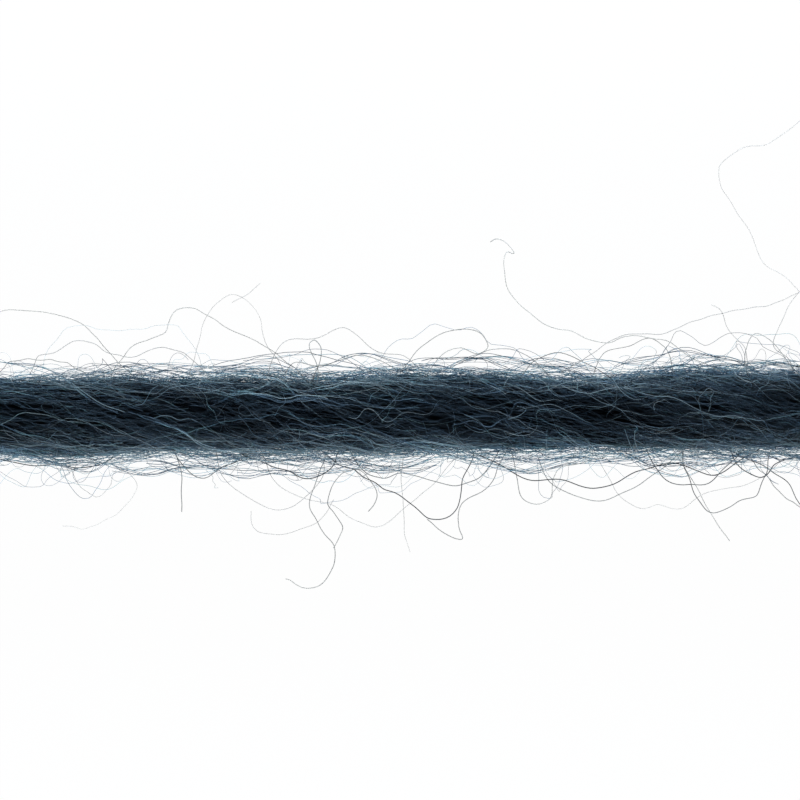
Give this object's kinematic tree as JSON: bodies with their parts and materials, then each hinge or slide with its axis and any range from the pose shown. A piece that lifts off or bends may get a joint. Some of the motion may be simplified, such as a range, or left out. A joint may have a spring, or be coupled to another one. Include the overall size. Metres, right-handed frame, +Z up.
{
  "type": "length of single-ply wool knitting yarn",
  "caption": "Cut length of soft single-ply wool yarn, lightly twisted, lying straight, with a halo of stray fibres and plainly cut ends.",
  "frame": {"origin": "middle of the flat strip on which the yarn lies, on the surface, halfway along its length", "axes": "+X along the yarn, +Y across it, +Z up from the surface it lies on"},
  "size_m": [0.0388, 0.0164, 0.0038],
  "materials": {
    "wool": "matt navy wool with lighter steel-blue fibre tips"
  },
  "bodies": {
    "root": {"yarn_strand": "wool"}
  },
  "joints": []
}
